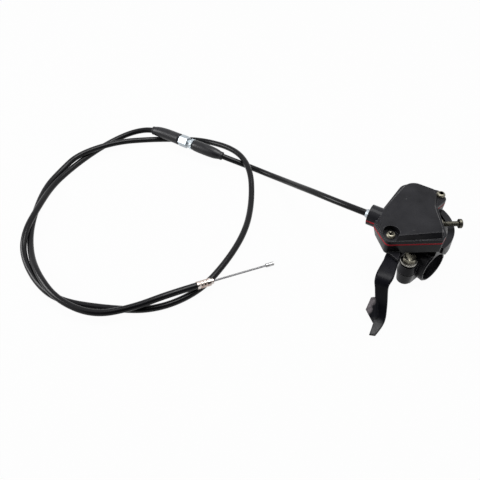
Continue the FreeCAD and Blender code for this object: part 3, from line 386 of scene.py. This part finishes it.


# %% Paint, plating, rubber and plastic
# Centre, reach and colour of the painted highlight patches on the lever: two on the wing, a
# fainter one at the tip
LEVER_PAINTED_HIGHLIGHTS = [
    ((-0.0098, -0.0570, -0.0015), 0.0046, (0.21, 0.19, 0.20)),
    ((-0.0088, -0.0602, -0.0068), 0.0046, (0.21, 0.19, 0.20)),
    ((0.0035, -0.0655, -0.0125), 0.0080, (0.05, 0.05, 0.052)),
]
# The lighter edge colour here is partly rubbed paint and partly a painted highlight along the
# rims.
cast_paint = finish(
    "cast_paint", (0.008, 0.008, 0.010), (0.018, 0.018, 0.021), (0.24, 0.36),
    mottle=45.0, relief=(grain_group, {"Scale": 1700.0}), depth=0.12, rounding=0.5 * MM,
    edge=(0.14, 0.14, 0.145), edge_gain=7.0, Specular_IOR_Level=0.11)
lever_paint = finish(
    "lever_paint", (0.004, 0.004, 0.006), (0.009, 0.009, 0.012), (0.26, 0.38),
    mottle=70.0, relief=(grain_group, {"Scale": 2400.0}), depth=0.1, rounding=0.4 * MM,
    edge=(0.06, 0.06, 0.063), edge_gain=2.0, painted_highlights=LEVER_PAINTED_HIGHLIGHTS, Specular_IOR_Level=0.07)
gasket_red = finish(
    "gasket_red", (0.36, 0.010, 0.020), (0.52, 0.016, 0.03), (0.6, 0.8),
    mottle=220.0, relief=(grain_group, {"Scale": 3200.0}), depth=0.3, Specular_IOR_Level=0.2)
zinc_yellow = finish(
    "zinc_yellow", (0.17, 0.16, 0.125), (0.30, 0.285, 0.23), (0.38, 0.55),
    mottle=330.0, relief=(streak_group, {"Scale": 2600.0, "Stretch": (1.0, 1.0, 0.2)}),
    depth=0.12, edge=(0.6, 0.58, 0.5), edge_gain=3.0, Metallic=1.0)
zinc_olive = finish(
    "zinc_olive", (0.045, 0.043, 0.034), (0.13, 0.125, 0.10), (0.32, 0.48),
    mottle=330.0, relief=(streak_group, {"Scale": 2600.0, "Stretch": (1.0, 1.0, 0.2)}),
    depth=0.12, edge=(0.3, 0.29, 0.25), edge_gain=3.0, Metallic=1.0)
zinc_bright = finish(
    "zinc_bright", (0.36, 0.40, 0.43), (0.50, 0.54, 0.57), (0.34, 0.44),
    mottle=260.0, relief=(streak_group, {"Scale": 2400.0, "Stretch": (1.0, 1.0, 0.25)}),
    depth=0.04, Metallic=1.0)
zinc_dull = finish(
    "zinc_dull", (0.16, 0.155, 0.14), (0.36, 0.35, 0.32), (0.3, 0.45),
    mottle=300.0, relief=(streak_group, {"Scale": 2400.0}), depth=0.2,
    edge=(0.6, 0.58, 0.54), edge_gain=3.0, Metallic=1.0)
# Near-black zinc: partly the spring washer's own finish, partly painted shade.
dark_zinc_and_painted_shade = finish(
    "dark_zinc_and_painted_shade", (0.03, 0.029, 0.026), (0.07, 0.067, 0.06), (0.35, 0.5),
    mottle=300.0, relief=(streak_group, {"Scale": 2400.0}), depth=0.2, Metallic=1.0)
ferrule_tin = finish(
    "ferrule_tin", (0.34, 0.24, 0.20), (0.72, 0.68, 0.65), (0.22, 0.36),
    mottle=160.0, relief=(streak_group, {"Scale": 2400.0}), depth=0.15, Metallic=1.0)
steel_plain = finish(
    "steel_plain", (0.30, 0.30, 0.30), (0.5, 0.5, 0.5), (0.22, 0.36),
    mottle=420.0, Metallic=1.0)
steel_wire = finish(
    "steel_wire", (0.13, 0.13, 0.135), (0.24, 0.24, 0.245), (0.4, 0.55),
    mottle=900.0, Metallic=1.0)
casing_skin = finish(
    "casing_skin", (0.004, 0.004, 0.005), (0.008, 0.008, 0.009), (0.2, 0.28),
    mottle=25.0, relief=(grain_group, {"Scale": 500.0}), depth=0.02,
    Specular_IOR_Level=0.16)
boot_rubber = finish(
    "boot_rubber", (0.008, 0.008, 0.010), (0.018, 0.018, 0.020), (0.3, 0.42),
    mottle=120.0, relief=(grain_group, {"Scale": 1500.0}), depth=0.2,
    edge=(0.05, 0.05, 0.055), edge_gain=2.0, Specular_IOR_Level=0.25)
bush_nylon = finish(
    "bush_nylon", (0.72, 0.7, 0.64), (0.82, 0.8, 0.75), (0.4, 0.55),
    mottle=200.0, relief=(grain_group, {"Scale": 2600.0}), depth=0.1)
print("finishes:", len(bpy.data.materials))

# %% [markdown]
# ## Skins made from rings
# Boots, threads, strands and turned parts are all rings of vertices joined into
# one skin, so one short function makes them all. It takes the rings in order
# and closes both ends, or joins the last ring to the first.

# %% A skin over rings


def body_from(name, mesh, body, material):
    """Wrap a mesh as a piece that rides on a CAD body."""
    piece = collect(bpy.data.objects.new(name, mesh))
    mesh.materials.clear()
    mesh.materials.append(material)
    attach(piece, body)
    return piece


def skin(name, tubes, crease=35.0):
    """A closed skin over each list of rings; the rings of one tube have equal length."""
    shape = bmesh.new()
    for rings in tubes:
        sides = len(rings[0])
        loops = [[shape.verts.new(place) for place in ring] for ring in rings]
        for near, far in zip(loops, loops[1:]):
            for i in range(sides):
                j = (i + 1) % sides
                shape.faces.new((near[i], near[j], far[j], far[i]))
        shape.faces.new(list(reversed(loops[0])))
        shape.faces.new(loops[-1])
    bmesh.ops.recalc_face_normals(shape, faces=shape.faces)
    mesh = bpy.data.meshes.new(name)
    shape.to_mesh(mesh)
    shape.free()
    mesh.shade_smooth()
    mesh.set_sharp_from_angle(angle=math.radians(crease))
    return mesh


def side_of(axis):
    """Two directions across an axis, the second one as near to upright as it can be."""
    across = axis.cross(UP)
    if across.length < 0.01:
        across = axis.cross(Vector((0, 1, 0)))
    across.normalize()
    return across, across.cross(axis).normalized()


def ring_at(centre, axis, radius, sides):
    """A ring of places round an axis; the radius may depend on the angle."""
    across, over = side_of(axis)
    places = []
    for i in range(sides):
        turn = 2 * math.pi * i / sides
        reach = radius(turn) if callable(radius) else radius
        places.append(centre + (across * math.cos(turn) + over * math.sin(turn)) * reach)
    return places


# %% [markdown]
# ## Softening a imported solid
# No casting, pressing or plated bolt has a knife edge. A imported solid comes as
# loose triangles, and a bevel needs clean faces, so a copy gets its doubled
# vertices welded and its flat faces joined again. Small parts then take a bevel
# of the real edge's size, which is what catches the light. Castings have their
# round edges already, so a width of 0 leaves them as they are. The copy rides on
# the imported node's body, and the node itself is hidden. The copy stands for
# the imported node, which stays the shape that the physics uses.

# %% A softened copy
WELD_REACH = 0.002 * MM
FLAT_WITHIN = math.radians(0.8)


def welded(source):
    """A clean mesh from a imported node: welded, with its flat faces joined."""
    shape = bmesh.new()
    shape.from_mesh(source.data)
    bmesh.ops.remove_doubles(shape, verts=shape.verts, dist=WELD_REACH)
    bmesh.ops.dissolve_limit(shape, angle_limit=FLAT_WITHIN,
                             verts=shape.verts, edges=shape.edges)
    shape.verts.ensure_lookup_table()
    shape.verts.index_update()
    places = [vertex.co.copy() for vertex in shape.verts]
    faces = [[vertex.index for vertex in face.verts] for face in shape.faces]
    shape.free()
    mesh = bpy.data.meshes.new(source.name + "_copy")
    mesh.from_pydata(places, [], faces)
    mesh.update()
    return mesh


def softened(node, width, material, crease=32.0, suffix="_skin"):
    """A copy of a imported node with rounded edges, riding where the node rides."""
    source = nodes[node]
    mesh = welded(source)
    mesh.shade_smooth()
    mesh.set_sharp_from_angle(angle=math.radians(crease))
    piece = body_from(node + suffix, mesh, source["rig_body"], material)
    if width > 0:
        bevel = piece.modifiers.new("soft_edges", "BEVEL")
        bevel.width = width
        bevel.segments = 2
        bevel.limit_method = "ANGLE"
        bevel.angle_limit = math.radians(crease)
        bevel.use_clamp_overlap = False
        bevel.harden_normals = True
        bevel.miter_outer = "MITER_ARC"
    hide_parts(node)
    return piece


# %% [markdown]
# ## The castings
# Housing, cover and clamp cap are one family: sand-fine grain under satin black
# paint. Their large round edges come with the solids, and the paint's bevel
# node softens the light on the small ones without a heavier mesh. The gasket
# between them is a stamped red sheet, so its edge stays crisp.

# %% Castings and gasket
for name in ("housing", "cover", "clamp_cap"):
    casting = softened(name, 0.0, cast_paint)
    print(casting.name, "faces:", len(casting.data.polygons))
softened("gasket", 0.0, gasket_red)

# %% [markdown]
# ## The thumb lever
# A pressed and bent steel blade, painted thinner and darker than the castings.
# Its sides stay smooth from bend to bend, so only turns sharper than 25 degrees
# break the shading. Lighter patches on the wing and the tip are painted highlights.

# %% Lever
lever = softened("thumb_lever", 0.0, lever_paint, crease=25.0)
print(lever.name, "faces:", len(lever.data.polygons))

# %% [markdown]
# ## Fasteners and plated parts
# Screws, bolts and the limiter are yellow zinc gone dull, washers are greyer,
# and the cable's fittings are bright. A bevel of a tenth or two of a millimetre
# rounds every edge that a press or a lathe would leave.

# %% Fasteners
TURNED_EDGE = 0.15 * MM
for name in ("cover_screw_front", "cover_screw_rear", "clamp_bolt_front", "clamp_bolt_rear",
             "limiter_lock_nut"):
    softened(name, TURNED_EDGE, zinc_yellow)
for name in ("clamp_washer_front", "clamp_washer_rear", "arm_clip"):
    softened(name, TURNED_EDGE, zinc_dull)
# The spring washer's near-black colour also paints the shade under the flat washer.
softened("clamp_spring_washer_front", 0.12 * MM, dark_zinc_and_painted_shade)
for name in ("casing_ferrule", "adjuster_lock_nut", "adjuster_sleeve"):
    softened(name, TURNED_EDGE, zinc_bright)
softened("end_ferrule", 0.1 * MM, ferrule_tin)
softened("end_nipple", 0.2 * MM, steel_plain)

# %% [markdown]
# ## Real threads
# The limiter screw and the cable adjuster show their threads, so a plain rod
# won't do there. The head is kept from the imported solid, cut off just under
# itself, and the shank is made again from rings whose radius follows a ridge
# that climbs one pitch for each turn.

# %% Thread rings
LIMITER_AXIS = Vector((0.62932, 0.77715, 0.0))
ADJUSTER_FROM = Vector((-205.5, -31.6, -4.2)) * MM
ADJUSTER_TO = Vector((-276.0, -53.3, -4.2)) * MM
ADJUSTER_AXIS = (ADJUSTER_TO - ADJUSTER_FROM).normalized()
RINGS_PER_TURN = 6
CREST_WIDENING = 1.35


def span_of(node, axis):
    """Where a packed straight node starts along its axis, and its length."""
    low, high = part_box(node)
    depths = [vertex.co.dot(axis) for vertex in nodes[node].data.vertices]
    middle = (low + high) / 2
    line = middle - axis * middle.dot(axis)
    return line + axis * min(depths), max(depths) - min(depths)


def thread_rings(start, axis, length, major, minor, pitch, sides=26):
    """Rings of a thread, each ridge one pitch from the next."""
    rings = []
    steps = round(length / pitch * RINGS_PER_TURN)
    for i in range(steps + 1):
        depth = length * i / steps
        taper = min(1.0, depth / pitch)

        def radius(turn, depth=depth, taper=taper):
            phase = (depth / pitch - turn / (2 * math.pi)) % 1.0
            ridge = 1.0 - abs(2.0 * phase - 1.0)
            return minor + (major - minor) * min(1.0, ridge * CREST_WIDENING) * taper

        rings.append(ring_at(start + axis * depth, axis, radius, sides))
    return rings


def cut_off(piece, place, axis):
    """Remove what lies behind a plane, and close the cut."""
    shape = bmesh.new()
    shape.from_mesh(piece.data)
    geometry = shape.verts[:] + shape.edges[:] + shape.faces[:]
    bmesh.ops.bisect_plane(shape, geom=geometry, plane_co=place, plane_no=axis,
                           clear_inner=True)
    bmesh.ops.holes_fill(shape, edges=[edge for edge in shape.edges if edge.is_boundary])
    shape.to_mesh(piece.data)
    shape.free()


# %% Limiter screw
LIMITER_HEAD = Vector((-5.12, 29.11, 21.9)) * MM
LIMITER_SHANK = 24.1 * MM
LIMITER_CUT = 0.1 * MM
limiter_head = softened("limiter_screw", 0.2 * MM, zinc_olive, suffix="_head")
cut_off(limiter_head, LIMITER_HEAD - LIMITER_AXIS * LIMITER_CUT, LIMITER_AXIS)
limiter_tip = LIMITER_HEAD - LIMITER_AXIS * LIMITER_SHANK
limiter_rings = thread_rings(limiter_tip, LIMITER_AXIS, LIMITER_SHANK,
                             major=1.95 * MM, minor=1.62 * MM, pitch=0.7 * MM)
limiter_thread = body_from("limiter_thread", skin("limiter_thread", [limiter_rings], crease=60.0),
                           "limiter", zinc_olive)
print("limiter thread faces:", len(limiter_thread.data.polygons))

# %% Adjuster screw
ADJUSTER_CUT = 31.0 * MM
ADJUSTER_THREAD_END = 45.5 * MM
ADJUSTER_OVERLAP = 0.5 * MM
adjuster_cup = softened("adjuster_screw", 0.0, zinc_bright, suffix="_cup")
cut_off(adjuster_cup, ADJUSTER_FROM + ADJUSTER_AXIS * ADJUSTER_CUT, -ADJUSTER_AXIS)
adjuster_rings = thread_rings(
    ADJUSTER_FROM + ADJUSTER_AXIS * (ADJUSTER_CUT - ADJUSTER_OVERLAP), ADJUSTER_AXIS,
    ADJUSTER_THREAD_END - ADJUSTER_CUT,
    major=2.98 * MM, minor=2.5 * MM, pitch=1.0 * MM, sides=32)
adjuster_thread = body_from(
    "adjuster_thread", skin("adjuster_thread", [adjuster_rings], crease=60.0),
    "housing", zinc_bright)
print("adjuster thread faces:", len(adjuster_thread.data.polygons))

# %% [markdown]
# ## The free wire
# A control cable's inner wire is twisted from strands. A bump map on one rod
# would fake that, but it leaves the outline smooth. So six thin tubes wind round
# a seventh, and the twist shows as a fine slanting glitter.

# %% Twisted strands
WIRE_AXIS = Vector((0.26021, 0.96076, -0.09608))
STRANDS = 6
LAY = 9.0 * MM
RINGS_PER_LAY = 14
WIRE_DIAMETER = 1.5 * MM


def twisted_wire(start, axis, length, diameter, sides=7):
    """Tubes of the strands of a wire."""
    thin = diameter / 6
    across, over = side_of(axis)
    end = start + axis * length
    tubes = [[ring_at(start, axis, thin, sides), ring_at(end, axis, thin, sides)]]
    steps = round(length / LAY * RINGS_PER_LAY)
    for strand in range(STRANDS):
        rings = []
        for i in range(steps + 1):
            depth = length * i / steps
            turn = 2 * math.pi * (depth / LAY + strand / STRANDS)
            offset = (across * math.cos(turn) + over * math.sin(turn)) * (diameter / 2 - thin)
            rings.append(ring_at(start + axis * depth + offset, axis, thin, sides))
        tubes.append(rings)
    return tubes


wire_start, wire_length = span_of("end_wire", WIRE_AXIS)
free_wire = body_from(
    "free_wire_strands",
    skin("free_wire_strands", twisted_wire(wire_start, WIRE_AXIS, wire_length, WIRE_DIAMETER)),
    "free_wire", steel_wire)
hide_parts("end_wire")
print("free wire length in millimetres:", round(wire_length / MM, 1))

# %% [markdown]
# ## Rubber boots
# The boots are soft rubber sleeves. They swell over the adjuster, narrow to a
# little collar that grips the casing, and bend with it. A turned profile would
# stay straight, so each boot is a skin over rings that follow the casing's own
# curve, smoothed by one subdivision.

# %% Boots
CUP_DEPTH = 17.05 * MM
SLEEVE_SEAT = 55.77 * MM
BOOT_SIDES = 28
# Distance from the adjuster's near end and radius, in millimetres
UPPER_BOOT = [
    (-0.7, 2.55), (-1.1, 3.0), (-0.9, 3.5), (-0.2, 3.75), (1.0, 3.75), (1.5, 3.65),
    (2.2, 3.75), (4.0, 4.25), (6.5, 4.75), (10.0, 5.05), (16.0, 5.2), (22.0, 5.2),
    (26.6, 5.1), (28.7, 4.85), (29.5, 4.3), (29.3, 3.4), (27.5, 3.05),
]
LOWER_BOOT = [
    (47.5, 3.98), (45.2, 4.05), (44.85, 4.5), (44.9, 5.0), (45.4, 5.2), (46.4, 5.2),
    (47.2, 5.1), (50.0, 5.1), (56.0, 5.1), (62.0, 5.0), (67.0, 4.75), (70.5, 4.35),
    (72.3, 3.95), (73.0, 3.75), (73.6, 3.9), (74.5, 3.85), (74.9, 3.4), (74.8, 2.55),
]


def upper_boot_spot(depth):
    """Place and direction of the upper boot's middle line."""
    if depth < CUP_DEPTH:
        return along(upper_chain, upper_length - CUP_DEPTH + depth)
    return ADJUSTER_FROM + ADJUSTER_AXIS * depth, ADJUSTER_AXIS


def lower_boot_spot(depth):
    """Place and direction of the lower boot's middle line."""
    if depth > SLEEVE_SEAT:
        return along(lower_chain, depth - SLEEVE_SEAT)
    return ADJUSTER_FROM + ADJUSTER_AXIS * depth, ADJUSTER_AXIS


def boot(name, spot_at, outline):
    """A sleeve with that outline along a line."""
    rings = []
    for depth, radius in outline:
        centre, direction = spot_at(depth * MM)
        rings.append(ring_at(centre, direction, radius * MM, BOOT_SIDES))
    sleeve = body_from(name + "_sleeve", skin(name + "_sleeve", [rings], crease=80.0),
                       "housing", boot_rubber)
    smooth = sleeve.modifiers.new("smooth", "SUBSURF")
    smooth.levels = 1
    smooth.render_levels = 1
    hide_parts(name)
    return sleeve


upper_sleeve = boot("boot_upper", upper_boot_spot, UPPER_BOOT)
lower_sleeve = boot("boot_lower", lower_boot_spot, LOWER_BOOT)
print("boot rings:", len(UPPER_BOOT), len(LOWER_BOOT))

# %% [markdown]
# ## Inside the box
# The arm, its bush and shaft, the wire's end and the spring lie under the
# cover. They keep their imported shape, and take the finish of such parts.

# %% Pieces inside the box
INSIDE = {
    "pivot_bush": bush_nylon, "pivot_shaft": steel_plain, "throttle_arm": zinc_yellow,
    "arm_nipple": steel_plain, "inner_wire": steel_wire, "return_spring": steel_plain,
}
for name, material in INSIDE.items():
    nodes[name].data.materials.clear()
    nodes[name].data.materials.append(material)
for tube in (upper_tube, lower_tube):
    tube.data.materials.append(casing_skin)
print("pieces inside the box:", len(INSIDE))

# %% [markdown]
# ## The cable runs
# Whoever lays the cable out anew needs its real facts: where each run of casing
# leaves the object, how long and thick it is, how stiff, and which pieces sit
# on it. Here the two runs are only named.

# %% Names of the cable runs
print("declared cords:", upper_tube.name, lower_tube.name)

# %% [markdown]
# ## Floor, world and lamps
# The photograph has a plain white ground. The floor is pale and takes the
# shadow; to the camera, and in reflections, it is lifted towards white through
# Light Path, so no lamp has to be too strong for the object.

# %% Floor and world
FLOOR_HEIGHT = -14.5 * MM
FLOOR_REACH = 4.0
FLOOR_LIFT = 0.97


def seen_directly(tree):
    """1 for rays from the camera, a mirror or glass, and 0 for diffuse light."""
    path = tree.nodes.new("ShaderNodeLightPath").outputs
    both = arithmetic(tree, "MAXIMUM", path["Is Camera Ray"], path["Is Glossy Ray"])
    return arithmetic(tree, "MAXIMUM", both, path["Is Transmission Ray"])


def flat_sheet(name, width, depth, height=0.0):
    """A mesh of one rectangle round the middle, seen from above."""
    mesh = bpy.data.meshes.new(name)
    corners = [(x * width, y * depth, height)
               for x, y in ((-0.5, -0.5), (0.5, -0.5), (0.5, 0.5), (-0.5, 0.5))]
    mesh.from_pydata(corners, [], [(0, 1, 2, 3)])
    return mesh


floor_mesh = flat_sheet("floor", 2 * FLOOR_REACH, 2 * FLOOR_REACH, FLOOR_HEIGHT)
floor = collect(bpy.data.objects.new("floor", floor_mesh))
paper = bpy.data.materials.new("paper_floor")
paper.use_nodes = True
tree = paper.node_tree
paper_shader = tree.nodes["Principled BSDF"]
paper_shader.inputs["Base Color"].default_value = (0.4, 0.4, 0.4, 1.0)
paper_shader.inputs["Roughness"].default_value = 0.9
lifted = add(tree, "ShaderNodeEmission", {"Color": WHITE, "Strength": 1.0})
share = arithmetic(tree, "MULTIPLY", seen_directly(tree), FLOOR_LIFT)
blend = add(tree, "ShaderNodeMixShader",
            {0: share, 1: paper_shader.outputs["BSDF"], 2: lifted.outputs["Emission"]})
tree.links.new(blend.outputs[0], tree.nodes["Material Output"].inputs["Surface"])
floor_mesh.materials.append(paper)

world = bpy.data.worlds.new("studio")
scene.world = world
world.use_nodes = True
tree = world.node_tree
backdrop = tree.nodes["Background"]
backdrop.inputs["Color"].default_value = WHITE
level = add(tree, "ShaderNodeMapRange",
            {"Value": seen_directly(tree), "To Min": 0.1, "To Max": 1.0})
tree.links.new(level.outputs["Result"], backdrop.inputs["Strength"])
print("floor at (mm):", FLOOR_HEIGHT / MM)

# %% Lamps
# Name, place, size and power in watts
LAMPS = [
    ("left_softbox", (-0.65, -0.60, 0.35), 0.35, 4.5),
    ("top_softbox", (-0.1, 0.15, 0.95), 0.6, 10.0),
]
LIT_PLACE = Vector((-0.08, -0.05, 0.0))
for name, place, size, power in LAMPS:
    lamp = bpy.data.lights.new(name, "AREA")
    lamp.shape = "SQUARE"
    lamp.size = size
    lamp.energy = power
    holder = collect(bpy.data.objects.new(name, lamp))
    holder.location = place
    aim = LIT_PLACE - Vector(place)
    holder.rotation_euler = aim.to_track_quat("-Z", "Y").to_euler()
scene.view_settings.view_transform = "Standard"
print("lamps:", [name for name, *rest in LAMPS])

# %% [markdown]
# ## A black card
# Black paint looks black because most of what it mirrors is dark. A
# photographer stands a black card on the camera's side for that, just out of
# the picture. The card here shows in reflections alone and throws no shadow.

# %% Black card
CARD_PLACE = Vector((0.20, -0.26, 0.10))
CARD_SIZE = (0.8, 0.5)
card_mesh = flat_sheet("black_card", *CARD_SIZE)
card = collect(bpy.data.objects.new("black_card", card_mesh))
card.location = CARD_PLACE
card.rotation_euler = (-CAMERA_AIM).to_track_quat("Z", "Y").to_euler()
card.visible_camera = False
card.visible_diffuse = False
card.visible_shadow = False
felt = bpy.data.materials.new("black_felt")
felt.use_nodes = True
felt_shader = felt.node_tree.nodes["Principled BSDF"]
felt_shader.inputs["Base Color"].default_value = (0.01, 0.01, 0.01, 1.0)
felt_shader.inputs["Specular IOR Level"].default_value = 0.0
card_mesh.materials.append(felt)
print("card size in metres:", CARD_SIZE)
